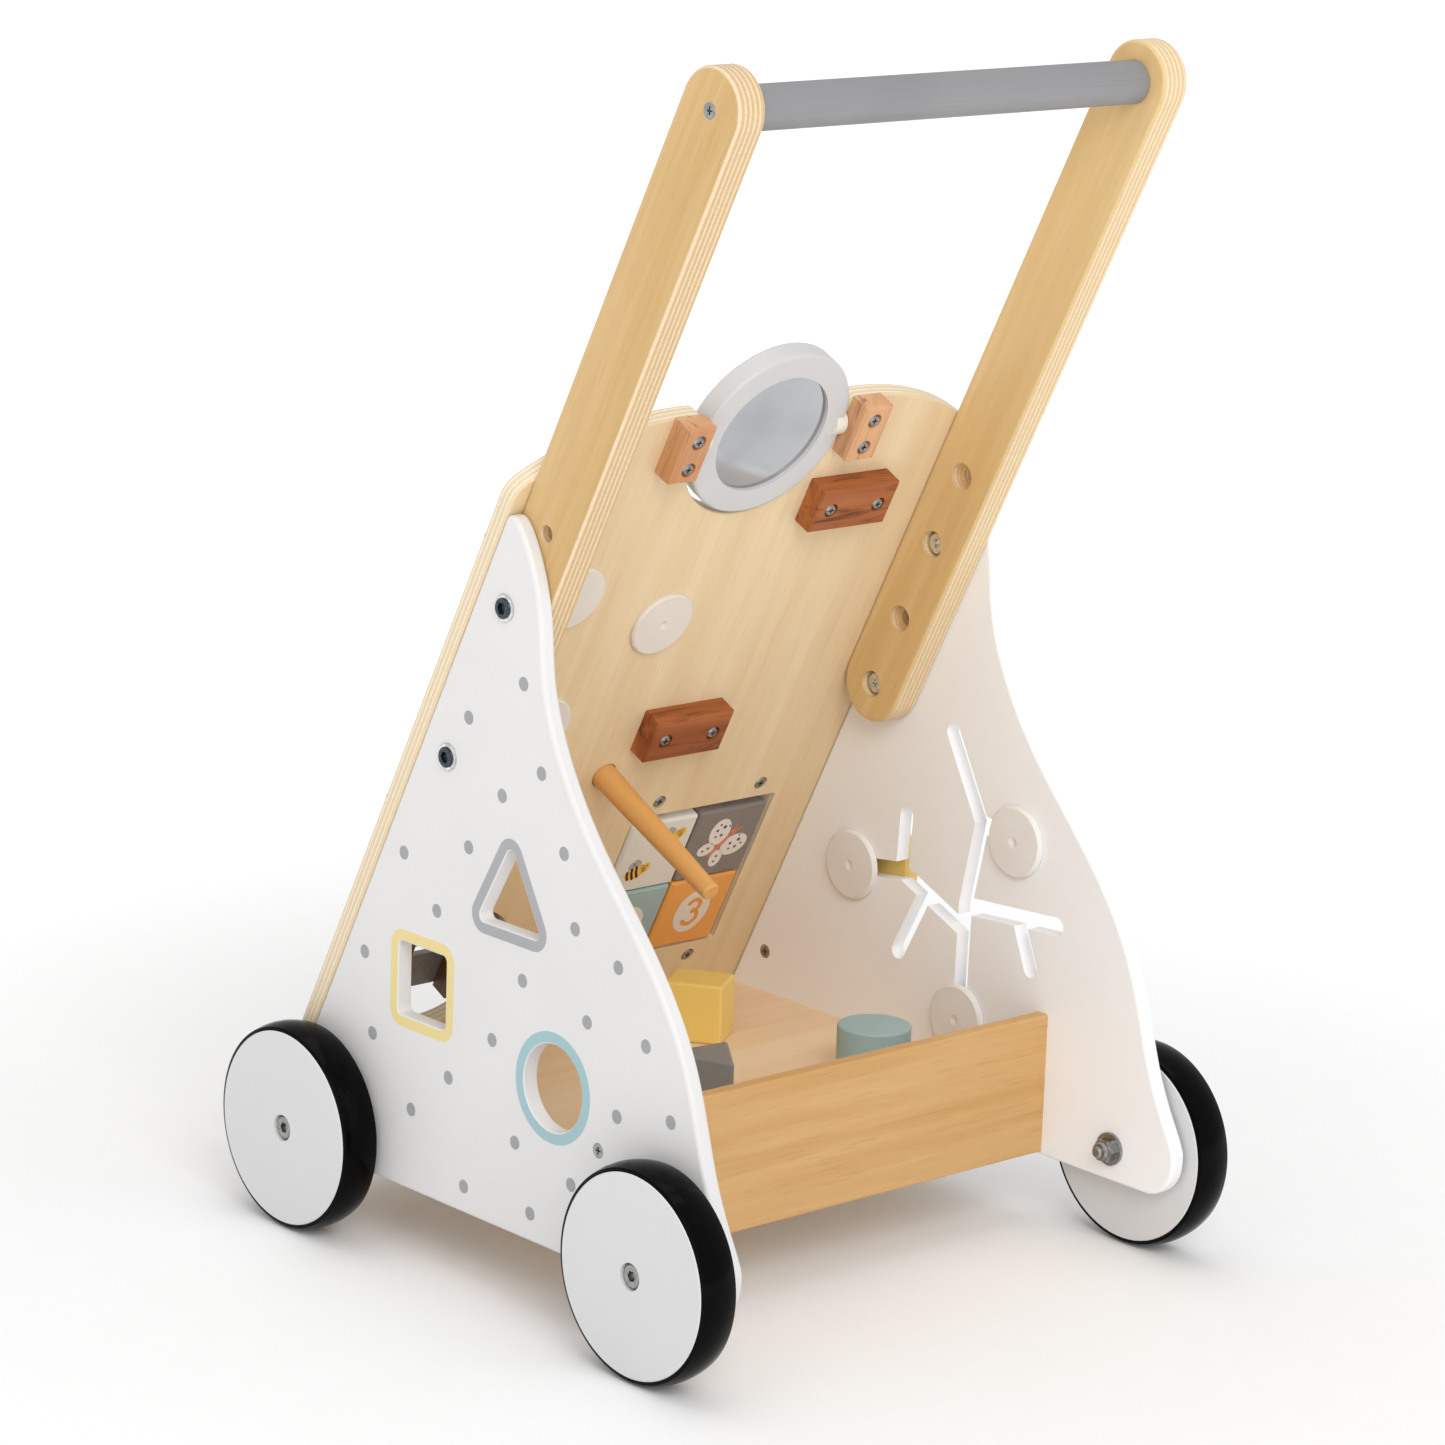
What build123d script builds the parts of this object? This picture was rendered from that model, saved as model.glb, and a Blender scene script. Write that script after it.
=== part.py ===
from build123d import *
from math import acos, atan2, cos, degrees, hypot, radians, sin, sqrt, tan
import os

os.makedirs("parts", exist_ok=True)

# A wooden push-along baby walker, in millimetres.
# X runs across it (its own left side is +X), Y towards the child, Z up.
# The origin is on the floor, midway between the axles and between the side panels.

# ---- overall layout
PANEL_OUT = 143.0          # outer face of a side panel, from the middle
PANEL_T = 8.0
PANEL_IN = PANEL_OUT - PANEL_T
PANEL_FOOT_Z = 34.0        # bottom edge of the panels
PANEL_PEAK_Z = 365.0
PANEL_REAR_Y = 167.0
SIDES = ((1, "left"), (-1, "right"))

# ---- the activity board leans back at a slope of two up for one along
BOARD_Y, BOARD_Z = -30.0, 300.0      # a point on the board's back face
BOARD_T = 9.0
BOARD_TOP = 116.0                    # up the slope from that point
BOARD_CROWN_HALF = 55.0              # flat part of the top edge
BOARD_SHOULDER_R = 140.0
BOARD_CORNER_R = 14.0
SLOPE = sqrt(5.0) / 2.0              # length along the slope for one unit of height
BOARD_FOOT = (PANEL_FOOT_Z - BOARD_Z) * SLOPE

# ---- handle
ARM_T = 15.0
ARM_W = 38.0
ARM_IN = PANEL_IN - ARM_T
ARM_HOLES = (-50.0, -10.0, 35.0, 75.0)   # up the slope; bolts sit in the first and third
ARM_BOLTED = (-50.0, 35.0)
BAR_S = 295.5
BAR_R = 10.0
ARM_HOLE_R = 4.0
ARM_POCKET_R, ARM_POCKET_DEPTH = 6.5, 5.0

# ---- bin
FLOOR_TOP, FLOOR_T = 67.0, 8.0
RAIL_FRONT_Y, RAIL_T = 73.0, 8.0
RAIL_LOW, RAIL_HIGH = 36.0, 105.0

# ---- wheels
AXLE_Y, AXLE_Z = 126.5, 50.0
TYRE_R, WHEEL_R, WHEEL_W = 50.0, 46.6, 20.0
WHEEL_IN = PANEL_OUT + 2.2
AXLE_R, RUNNING = 3.0, 0.06          # running clearance on a radius

# ---- shape sorter, in the left panel, as (y, z)
SQUARE_AT, SQUARE_W = (-50.9, 135.1), 35.4
TRIANGLE_AT, TRIANGLE_SIDE = (11.0, 176.0), 46.2   # middle of the base edge
ROUND_AT, ROUND_R = (44.5, 110.5), 20.4

# ---- maze, in the right panel, as (y, z)
SLOT_W = 9.0
TRUNK_TOP, TRUNK_KNEE = (8.0, 229.0), (30.3, 188.5)
TRUNK_FORK, TRUNK_FOOT = (21.5, 145.5), (20.5, 87.7)
STUB_END = (54.7, 185.0)
WEST_FORK, WEST_TOP, WEST_END = (-23.5, 152.5), (-22.0, 181.0), (-58.2, 148.3)
MAZE = (
    (TRUNK_TOP, TRUNK_KNEE), (TRUNK_KNEE, TRUNK_FORK), (TRUNK_FORK, TRUNK_FOOT),
    (TRUNK_KNEE, STUB_END), (TRUNK_FORK, (83.5, 149.3)), ((58.0, 147.6), (67.5, 124.5)),
    ((20.7, 133.5), WEST_FORK), (WEST_FORK, WEST_TOP), (WEST_FORK, WEST_END),
    ((-6.5, 145.0), (-24.0, 112.0)),
)
SLIDERS = (("west", WEST_END, 30.0), ("north", STUB_END, 15.0), ("south", TRUNK_FOOT, 14.0))
DISC_R = 17.6

# ---- mirror, in board coordinates (across, up the slope)
MIRROR_S, MIRROR_R, MIRROR_T = 101.6, 44.2, 11.0
MIRROR_OUT, PIN_OUT = 3.1, 1.8         # middle of its ring, and its pins, in from the back face
NOTCH_R = 46.3
GLASS_R, GLASS_T, GLASS_SET = 31.6, 2.0, 2.0
PIN_R = 3.0
BOSS_R, BOSS_IN, BOSS_END = 6.4, 38.5, 45.5

# ---- small redwood blocks on the back of the board
BLOCK_T = 11.0
MIRROR_BLOCK = (17.0, 30.0)
WIRE_BLOCK = (48.0, 24.0)
WIRE_UPPER, WIRE_LOWER = (-65.0, 58.0), (-18.0, -72.5)

# ---- four flip blocks in a window
WINDOW_AT, WINDOW = (-62.0, -179.4), (93.0, 95.6)
FLIP_W, FLIP_H, FLIP_T, FLIP_PITCH = 43.0, 44.0, 14.0, 44.6
FLIP_ROWS = (("top", -159.2), ("bottom", -204.1))
FLIP_COLUMNS = (("left", WINDOW_AT[0] + FLIP_PITCH / 2), ("right", WINDOW_AT[0] - FLIP_PITCH / 2))
ROD_R, ROD_GRIP = 2.0, 6.0
BEZEL, BEZEL_T = (110.0, 128.0), 5.0
BEZEL_SCREWS = [(WINDOW_AT[0] + dx, WINDOW_AT[1] + ds) for dx in (-33, 33) for ds in (-56, 56)]

# ---- three meshed gears on the front
MODULE, PRESSURE = 5.0, radians(25)
GEAR_T, GEAR_W = 10.0, BOARD_T + 0.8
SHAFT_R = 5.0
MIDDLE_AT, MIDDLE_TEETH = (20.0, -6.0), 15
UPPER_TEETH, UPPER_TOWARDS = 12, 20.8      # direction from the middle gear, degrees
LOWER_TEETH, LOWER_TOWARDS = 15, -45.7

# ---- xylophone on the front
XYLO_X, XYLO_LOW, XYLO_PITCH = 70.3, -227.5, 27.0
XYLO_LENGTHS = (104.0, 98.0, 92.0, 86.0, 80.0)
XYLO_BAR_W, XYLO_BAR_T = 21.0, 3.0
XYLO_RAIL_W, XYLO_RAIL_D, XYLO_RAIL_X = 10.0, 11.0, 21.3
SOUND_AT, SOUND_R = (70.3, -209.6), 37.0

# ---- bead wire on the front
WIRE_R, WIRE_OUT, WIRE_BEND, WIRE_SUNK = 2.0, 34.0, 12.0, 5.0
BEAD_R, BEAD_L, BEAD_STEP = 10.0, 17.0, 38.0

# ---- mallet kept in a hole in the board
MALLET_AT = (16.5, -98.5)
MALLET_TAIL = 89.0
MALLET_HEAD_R = 13.5

board_back = Plane(origin=(0, BOARD_Y, BOARD_Z), x_dir=(1, 0, 0), z_dir=(0, -2, 1))


def board_place(x, s, out=0.0):
    """A plane at board coordinates that faces the front; out is measured from the back face."""
    return Plane(origin=board_back.from_local_coords((x, s, out)), x_dir=(1, 0, 0),
                 z_dir=board_back.z_dir)


def back_place(x, s, out=0.0):
    """The same point, facing the child."""
    return Plane(origin=board_back.from_local_coords((x, s, out)), x_dir=(1, 0, 0),
                 z_dir=-board_back.z_dir)


def side_place(side, x, y, z):
    """A plane that faces outwards to the left (side 1) or to the right (side -1)."""
    return Plane(origin=(side * x, y, z), x_dir=(0, side, 0), z_dir=(side, 0, 0))


def inward_place(side, x, y, z):
    """A plane on a side wall that faces the middle of the walker."""
    return Plane(origin=(side * x, y, z), x_dir=(0, -side, 0), z_dir=(-side, 0, 0))


def turn(place, profile, mode=Mode.ADD):
    """Turn a closed (radius, height) profile about a plane's normal."""
    section = Plane(origin=place.origin, x_dir=place.x_dir, z_dir=-place.y_dir)
    with BuildSketch(section) as half_section:
        with BuildLine():
            Polyline(*profile, close=True)
        make_face()
    revolve(half_section.sketch, axis=Axis(place.origin, place.z_dir), mode=mode)


def bore(place, radius, depth):
    """Cut a round hole down from a plane."""
    turn(place, [(0, 0.01), (radius, 0.01), (radius, -depth), (0, -depth)], Mode.SUBTRACT)


PIN_MOUTH_X = 59.0


def pin_mouth(side):
    """The outer end of the hole for one of the mirror's pins."""
    return Plane(origin=board_back.from_local_coords((side * PIN_MOUTH_X, MIRROR_S, PIN_OUT)),
                 z_dir=(side, 0, 0))


def cross_recess(place, top, reach, depth):
    """Cut a cross-shaped driver recess into a head whose top is at the given height."""
    for width, length in ((0.9, reach), (reach, 0.9)):
        with BuildSketch(place.offset(top - depth)) as slit:
            Rectangle(width, length)
        extrude(slit.sketch, amount=depth + 0.5, mode=Mode.SUBTRACT)


def hex_recess(place, top, across, depth):
    """Cut a hexagonal key recess into a head."""
    with BuildSketch(place.offset(top - depth)) as socket:
        RegularPolygon(radius=across / 2, side_count=6, major_radius=False)
    extrude(socket.sketch, amount=depth + 0.5, mode=Mode.SUBTRACT)


# ---- the one size of flat-headed wood screw, and the pan-headed one for the board's back
FLAT_HEAD_R, FLAT_HEAD_H, FLAT_SHANK_R, FLAT_L = 3.6, 2.0, 1.6, 25.0
PAN_HEAD_R, PAN_HEAD_H, PAN_SHANK_R, PAN_L = 3.3, 1.6, 1.4, 15.0


def flat_profile(length):
    """Outline of a flat-headed screw whose head lies flush at height 0."""
    return [(0, -length), (0.3, -length), (FLAT_SHANK_R, 3 - length), (FLAT_SHANK_R, -FLAT_HEAD_H),
            (FLAT_HEAD_R, 0), (0, 0)]


def pan_profile(length):
    """Outline of a pan-headed screw whose head stands on height 0."""
    return [(0, -length), (0.3, -length), (PAN_SHANK_R, 3 - length), (PAN_SHANK_R, 0),
            (PAN_HEAD_R, 0), (PAN_HEAD_R, PAN_HEAD_H * 0.4), (PAN_HEAD_R * 0.7, PAN_HEAD_H),
            (0, PAN_HEAD_H)]


# rail ends: one screw high and one low; the lower corner: one short screw from the inside
rail_screws = [side_place(side, PANEL_OUT, RAIL_FRONT_Y + RAIL_T / 2, z)
               for side, _ in SIDES for z in (51.0, 90.0)]
board_screws = [board_place(side * (PANEL_IN + PANEL_T / 2), s, BOARD_T)
                for side, _ in SIDES for s in (55.0, -95.0, -245.0)]
corner_screws = [inward_place(side, PANEL_IN, -121.0, 88.0) for side, _ in SIDES]
CORNER_L = 7.4
POCKET_R, POCKET_DEPTH = 3.9, 1.6
block_screws = [back_place(side * 54.0, s, POCKET_DEPTH - BLOCK_T)
                for side, _ in SIDES for s in (94.0, 109.0)]
block_screws += [back_place(x + dx, s, POCKET_DEPTH - BLOCK_T) for x, s in (WIRE_UPPER, WIRE_LOWER)
                 for dx in (-15.0, 15.0)]
bezel_screws = [back_place(x, s, POCKET_DEPTH) for x, s in BEZEL_SCREWS]
BEZEL_SCREW_L = 10.5

floor_dowels = [side_place(side, PANEL_IN, y, FLOOR_TOP - FLOOR_T / 2)
                for side, _ in SIDES for y in (-120.0, -40.0, 40.0)]
DOWEL_R, DOWEL_IN_PANEL, DOWEL_IN_FLOOR = 2.5, 5.0, 15.0


# ---- side panels
def panel_face():
    """The outline of a side panel, in (y, z), with its peak at the top of the board's slope."""
    front_foot = (BOARD_Y + (PANEL_FOOT_Z - BOARD_Z) / 2, PANEL_FOOT_Z)
    front_peak = (BOARD_Y + (PANEL_PEAK_Z - BOARD_Z) / 2, PANEL_PEAK_Z)
    crest = (front_peak[0] + 3.5, PANEL_PEAK_Z)
    heel = (PANEL_REAR_Y, 56.0)
    with BuildLine() as outline:
        FilletPolyline(heel, (PANEL_REAR_Y, PANEL_FOOT_Z), front_foot, front_peak, crest,
                       radius=(18, 6, 3))
        Spline(crest, (22.8, 340), (30.6, 295), (59, 236.5), (104, 186), (133.5, 141),
               (147.5, 99), (159.5, 72), heel, tangents=((1, 0), (0, -1)), tangent_scalars=(0.5, 0.5))
    make_face(outline.edges())


def round_panel_rims(panel, rim_radius):
    """Round the outer rim of a panel on both faces."""
    for face in (panel.faces().sort_by(Axis.X)[0], panel.faces().sort_by(Axis.X)[-1]):
        fillet(face.outer_wire().edges(), rim_radius)


def drill_panel(side):
    """The holes that both side panels have."""
    for y in (-AXLE_Y, AXLE_Y):
        bore(side_place(side, PANEL_OUT, y, AXLE_Z), AXLE_R, PANEL_T + 1)
    for s in ARM_BOLTED:
        spot = board_back.from_local_coords((0, s, -ARM_W / 2))
        bore(side_place(side, PANEL_OUT, spot.Y, spot.Z), ARM_HOLE_R, PANEL_T + 1)
    for place in rail_screws + board_screws:
        turn(place, flat_profile(FLAT_L), Mode.SUBTRACT)
    for place in corner_screws:
        turn(place, flat_profile(CORNER_L), Mode.SUBTRACT)
    for place in floor_dowels:
        turn(place, [(0, -1), (DOWEL_R, -1), (DOWEL_R, DOWEL_IN_PANEL), (0, DOWEL_IN_PANEL)],
             Mode.SUBTRACT)


with BuildPart() as left_side_panel:
    with BuildSketch(Plane.YZ.offset(PANEL_IN)):
        panel_face()
    extrude(amount=PANEL_T)
    round_panel_rims(left_side_panel, 2.0)
    with BuildSketch(Plane.YZ.offset(PANEL_IN)) as sorter_holes:
        with Locations(SQUARE_AT):
            RectangleRounded(SQUARE_W, SQUARE_W, 3)
        with Locations(ROUND_AT):
            Circle(ROUND_R)
        with BuildLine():
            FilletPolyline((TRIANGLE_AT[0] - TRIANGLE_SIDE / 2, TRIANGLE_AT[1]),
                           (TRIANGLE_AT[0] + TRIANGLE_SIDE / 2, TRIANGLE_AT[1]),
                           (TRIANGLE_AT[0], TRIANGLE_AT[1] + TRIANGLE_SIDE * sqrt(3) / 2),
                           radius=3, close=True)
        make_face()
    extrude(amount=PANEL_T, mode=Mode.SUBTRACT)
    for face in (left_side_panel.faces().sort_by(Axis.X)[0],
                 left_side_panel.faces().sort_by(Axis.X)[-1]):
        for wire in face.inner_wires():
            fillet(wire.edges(), 0.6)
    drill_panel(1)

with BuildPart() as right_side_panel:
    with BuildSketch(Plane.YZ.offset(-PANEL_OUT)):
        panel_face()
    extrude(amount=PANEL_T)
    round_panel_rims(right_side_panel, 2.0)
    with BuildSketch(Plane.YZ.offset(-PANEL_OUT)) as maze_slots:
        for (y1, z1), (y2, z2) in MAZE:
            with Locations(((y1 + y2) / 2, (z1 + z2) / 2)):
                SlotCenterToCenter(hypot(y2 - y1, z2 - z1), SLOT_W,
                                   rotation=degrees(atan2(z2 - z1, y2 - y1)))
    extrude(amount=PANEL_T, mode=Mode.SUBTRACT)
    drill_panel(-1)

# ---- activity board
with BuildPart() as activity_board:
    with BuildSketch(board_back):
        shoulder_s = BOARD_TOP - BOARD_SHOULDER_R
        reach = PANEL_OUT - BOARD_CROWN_HALF
        corner_s = shoulder_s + sqrt(BOARD_SHOULDER_R**2 - reach**2)
        with BuildLine() as half:
            Line((0, BOARD_TOP), (BOARD_CROWN_HALF, BOARD_TOP))
            RadiusArc((BOARD_CROWN_HALF, BOARD_TOP), (PANEL_OUT, corner_s), BOARD_SHOULDER_R)
            Polyline((PANEL_OUT, corner_s), (PANEL_OUT, BOARD_FOOT), (0, BOARD_FOOT))
            mirror(about=Plane.YZ)
        make_face()
        with Locations((0, MIRROR_S)):
            Circle(NOTCH_R, mode=Mode.SUBTRACT)
    extrude(amount=BOARD_T)
    upright = activity_board.edges().filter_by(Axis(board_back.origin, board_back.z_dir))
    fillet([e for e in upright if abs(abs(e.center().X) - PANEL_OUT) < 0.1
            and e.center().Z > BOARD_Z], BOARD_CORNER_R)
    fillet([e for e in upright if abs(e.center().X) < NOTCH_R and e.center().Z > BOARD_Z], 4.0)
    for face in (activity_board.faces().filter_by(board_back).sort_by(Axis.Y)):
        fillet(face.outer_wire().edges(), 1.2)
    with BuildSketch(board_back):
        with Locations(WINDOW_AT):
            RectangleRounded(*WINDOW, 1.5)
        with Locations(SOUND_AT):
            Circle(SOUND_R)
        with Locations(MALLET_AT):
            Circle(7.0)
    extrude(amount=BOARD_T, mode=Mode.SUBTRACT)
    for x, s in (WIRE_UPPER, WIRE_LOWER):
        bore(board_place(x, s, BOARD_T), WIRE_R, BOARD_T + 1)
    # channels in the back for the mirror's pins, which the redwood blocks close
    for side, _ in SIDES:
        with BuildSketch(board_back):
            with Locations((side * 50.0, MIRROR_S)):
                Rectangle(18, 2 * (PIN_R + RUNNING))
        extrude(amount=PIN_OUT, mode=Mode.SUBTRACT)
        bore(pin_mouth(side), PIN_R + RUNNING, 18)
    # grooves in the front for the flip blocks' rods, which the bezel closes
    with BuildSketch(board_back.offset(BOARD_T - 2 * ROD_R)):
        for _, x in FLIP_COLUMNS:
            with Locations((x, WINDOW_AT[1])):
                Rectangle(2 * ROD_R, WINDOW[1] + 2 * ROD_GRIP)
    extrude(amount=2 * ROD_R, mode=Mode.SUBTRACT)
    for place in board_screws:
        turn(place, flat_profile(FLAT_L), Mode.SUBTRACT)
    for place in block_screws:
        turn(place, pan_profile(PAN_L), Mode.SUBTRACT)
    for place in bezel_screws:
        bore(place.offset(POCKET_DEPTH), POCKET_R, POCKET_DEPTH)
        turn(place, pan_profile(BEZEL_SCREW_L), Mode.SUBTRACT)


# ---- gear train geometry: a tooth of the middle gear points at the upper gear
def beside_middle(towards, teeth):
    """Centre of a gear that meshes with the middle gear in the given direction."""
    reach = MODULE * (MIDDLE_TEETH + teeth) / 2
    return (MIDDLE_AT[0] + reach * cos(radians(towards)),
            MIDDLE_AT[1] + reach * sin(radians(towards)))


def meshing_phase(towards, teeth):
    """Angle of a tooth of a gear that meshes with the middle gear, in degrees."""
    middle_turn = MIDDLE_TEETH * (towards - UPPER_TOWARDS)
    return towards + 180 - (180 - middle_turn) / teeth


GEARS = (
    ("middle", MIDDLE_AT, MIDDLE_TEETH, UPPER_TOWARDS),
    ("upper", beside_middle(UPPER_TOWARDS, UPPER_TEETH), UPPER_TEETH,
     meshing_phase(UPPER_TOWARDS, UPPER_TEETH)),
    ("lower", beside_middle(LOWER_TOWARDS, LOWER_TEETH), LOWER_TEETH,
     meshing_phase(LOWER_TOWARDS, LOWER_TEETH)),
)


def gear_outline(teeth, phase, backlash=0.5):
    """Corner points of an involute gear, a tooth at a time."""
    pitch_r = MODULE * teeth / 2
    base_r = pitch_r * cos(PRESSURE)
    tip_r, root_r = pitch_r + 0.8 * MODULE, pitch_r - MODULE
    half_pitch = 90.0 / teeth - degrees(backlash / 2 / pitch_r)
    points = []
    for tooth in range(teeth):
        middle = phase + 360.0 * tooth / teeth
        flank = [(root_r, half_pitch + degrees(tan(PRESSURE) - PRESSURE))]
        for step in range(4):
            r = base_r + (tip_r - base_r) * step / 3
            a = acos(base_r / r)
            roll = degrees(tan(PRESSURE) - PRESSURE - tan(a) + a)
            flank.append((r, half_pitch + roll))
        for r, angle in flank:
            points.append((r * cos(radians(middle - angle)), r * sin(radians(middle - angle))))
        for r, angle in reversed(flank):
            points.append((r * cos(radians(middle + angle)), r * sin(radians(middle + angle))))
    return points


with activity_board:
    for _, (x, s), _, _ in GEARS:
        bore(board_place(x, s, BOARD_T), SHAFT_R, BOARD_T + 1)

# ---- bin
with BuildPart() as bin_floor:
    with BuildSketch(Plane.YZ.offset(-PANEL_IN)):
        floor_low = FLOOR_TOP - FLOOR_T
        with BuildLine():
            Polyline((BOARD_Y + (floor_low - BOARD_Z) / 2, floor_low), (RAIL_FRONT_Y, floor_low),
                     (RAIL_FRONT_Y, FLOOR_TOP), (BOARD_Y + (FLOOR_TOP - BOARD_Z) / 2, FLOOR_TOP),
                     close=True)
        make_face()
    extrude(amount=2 * PANEL_IN)
    for place in floor_dowels:
        bore(place, DOWEL_R, DOWEL_IN_FLOOR)

with BuildPart() as rear_rail:
    with Locations((0, RAIL_FRONT_Y + RAIL_T / 2, (RAIL_LOW + RAIL_HIGH) / 2)):
        Box(2 * PANEL_IN, RAIL_T, RAIL_HIGH - RAIL_LOW)
    fillet(rear_rail.edges().filter_by(Axis.X).group_by(Axis.Z)[-1], 1.5)
    fillet(rear_rail.edges().filter_by(Axis.X).group_by(Axis.Z)[0], 1.0)
    for place in rail_screws:
        turn(place, flat_profile(FLAT_L), Mode.SUBTRACT)

with BuildPart() as floor_pegs:
    for place in floor_dowels:
        turn(place, [(0, -DOWEL_IN_FLOOR), (DOWEL_R, -DOWEL_IN_FLOOR), (DOWEL_R, DOWEL_IN_PANEL),
                     (0, DOWEL_IN_PANEL)])

# ---- handle
BAR_AT = board_back.from_local_coords((0, BAR_S, -ARM_W / 2))
ARM_MIDDLE = board_back.from_local_coords((0, (BAR_S + ARM_HOLES[0]) / 2, -ARM_W / 2))
BAR_SCREW_L = 40.0
bar_screws = [side_place(side, PANEL_IN, BAR_AT.Y, BAR_AT.Z) for side, _ in SIDES]


def bar_screw_profile():
    """A long flat-headed screw that holds the bar's end."""
    return [(0, -BAR_SCREW_L), (0.3, -BAR_SCREW_L), (2.2, 4 - BAR_SCREW_L), (2.2, -2.0), (3.8, 0),
            (0, 0)]


def drill_arm(side):
    """The four height holes, pocketed on the inner face, and the bar screw's hole."""
    for s in ARM_HOLES:
        spot = board_back.from_local_coords((0, s, -ARM_W / 2))
        bore(side_place(side, PANEL_IN, spot.Y, spot.Z), ARM_HOLE_R, ARM_T + 1)
        bore(inward_place(side, ARM_IN, spot.Y, spot.Z), ARM_POCKET_R, ARM_POCKET_DEPTH)
    for place in bar_screws:
        turn(place, bar_screw_profile(), Mode.SUBTRACT)


def arm_blank():
    """A straight plywood arm with round ends, in (y, z)."""
    with Locations((ARM_MIDDLE.Y, ARM_MIDDLE.Z)):
        SlotCenterToCenter(BAR_S - ARM_HOLES[0], ARM_W, rotation=degrees(atan2(2, 1)))


with BuildPart() as left_handle_arm:
    with BuildSketch(Plane.YZ.offset(ARM_IN)):
        arm_blank()
    extrude(amount=ARM_T)
    round_panel_rims(left_handle_arm, 2.0)
    drill_arm(1)

with BuildPart() as right_handle_arm:
    with BuildSketch(Plane.YZ.offset(-PANEL_IN)):
        arm_blank()
    extrude(amount=ARM_T)
    round_panel_rims(right_handle_arm, 2.0)
    drill_arm(-1)

with BuildPart() as handle_bar:
    with BuildSketch(Plane.YZ.offset(-ARM_IN)):
        with Locations((BAR_AT.Y, BAR_AT.Z)):
            Circle(BAR_R)
    extrude(amount=2 * ARM_IN)
    chamfer(handle_bar.edges().filter_by(GeomType.CIRCLE), 0.5)
    for place in bar_screws:
        turn(place, bar_screw_profile(), Mode.SUBTRACT)

# a washer and a sleeve nut outside each panel, and a broad-headed bolt from the inside
arm_bolt_spots = [board_back.from_local_coords((0, s, -ARM_W / 2)) for s in ARM_BOLTED]
nut_places = [side_place(side, PANEL_OUT, spot.Y, spot.Z)
              for side, _ in SIDES for spot in arm_bolt_spots]
bolt_places = [inward_place(side, ARM_IN + ARM_POCKET_DEPTH, spot.Y, spot.Z)
               for side, _ in SIDES for spot in arm_bolt_spots]
ARM_WASHER_R, ARM_WASHER_T, ARM_THREAD_R = 6.4, 1.2, 2.5
SLEEVE_HEAD_R, SLEEVE_HEAD_H = 4.8, 0.9
NUT_REACH = PANEL_T + ARM_T - ARM_POCKET_DEPTH

with BuildPart() as arm_washers:
    for place in nut_places:
        turn(place, [(ARM_HOLE_R, 0), (ARM_WASHER_R, 0), (ARM_WASHER_R, ARM_WASHER_T * 0.7),
                     (ARM_WASHER_R - 0.4, ARM_WASHER_T), (ARM_HOLE_R, ARM_WASHER_T)])

with BuildPart() as arm_sleeve_nuts:
    for place in nut_places:
        top = ARM_WASHER_T + SLEEVE_HEAD_H
        turn(place, [(ARM_THREAD_R, -NUT_REACH), (ARM_HOLE_R, -NUT_REACH),
                     (ARM_HOLE_R, ARM_WASHER_T), (SLEEVE_HEAD_R, ARM_WASHER_T),
                     (SLEEVE_HEAD_R, top - 0.3), (SLEEVE_HEAD_R - 0.3, top), (0, top),
                     (0, top - 7), (ARM_THREAD_R, top - 7)])
        hex_recess(place, top, 5.0, 1.6)

with BuildPart() as arm_bolts:
    for place in bolt_places:
        turn(place, [(0, -12), (ARM_THREAD_R - 0.5, -12), (ARM_THREAD_R, -11.5), (ARM_THREAD_R, 0),
                     (6.1, 0), (6.1, 0.8), (4.6, 2.4), (0, 2.6)])
        cross_recess(place, 2.6, 4.4, 1.5)

# ---- wood screws
with BuildPart() as wood_screws:
    for place in bar_screws:
        turn(place, bar_screw_profile())
        cross_recess(place, 0, 3.6, 1.4)
    for place in rail_screws + board_screws:
        turn(place, flat_profile(FLAT_L))
        cross_recess(place, 0, 3.6, 1.2)
    for place in corner_screws:
        turn(place, flat_profile(CORNER_L))
        cross_recess(place, 0, 3.6, 1.2)

with BuildPart() as back_screws:
    for place in block_screws:
        turn(place, pan_profile(PAN_L))
        cross_recess(place, PAN_HEAD_H, 3.4, 1.0)
    for place in bezel_screws:
        turn(place, pan_profile(BEZEL_SCREW_L))
        cross_recess(place, PAN_HEAD_H, 3.4, 1.0)

# ---- axles: a recessed bolt, a washer each side of the panel and a locking nut inside
axle_places = [side_place(side, PANEL_OUT, y, AXLE_Z)
               for side, _ in SIDES for y in (-AXLE_Y, AXLE_Y)]
HEAD_SEAT = WHEEL_IN - PANEL_OUT + WHEEL_W - 4.0
AXLE_WASHER_R, AXLE_WASHER_T, NUT_H = 8.0, 1.6, 6.5

with BuildPart() as axle_bolts:
    for place in axle_places:
        inner_end = -(PANEL_T + AXLE_WASHER_T + NUT_H + 2.0)
        turn(place, [(0, inner_end), (AXLE_R - 0.8, inner_end), (AXLE_R, inner_end + 0.8),
                     (AXLE_R, HEAD_SEAT + 0.2), (5.6, HEAD_SEAT + 0.2), (5.6, HEAD_SEAT + 2.4),
                     (5.0, HEAD_SEAT + 3.0), (0, HEAD_SEAT + 3.0)])
        hex_recess(place, HEAD_SEAT + 3.0, 4.6, 2.6)

with BuildPart() as axle_washers:
    for place in axle_places:
        turn(place, [(AXLE_R, 0), (9, 0), (9, 2.0), (AXLE_R, 2.0)])
        turn(place, [(AXLE_R, -PANEL_T), (AXLE_WASHER_R, -PANEL_T),
                     (AXLE_WASHER_R, -PANEL_T - AXLE_WASHER_T), (AXLE_R, -PANEL_T - AXLE_WASHER_T)])

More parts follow.
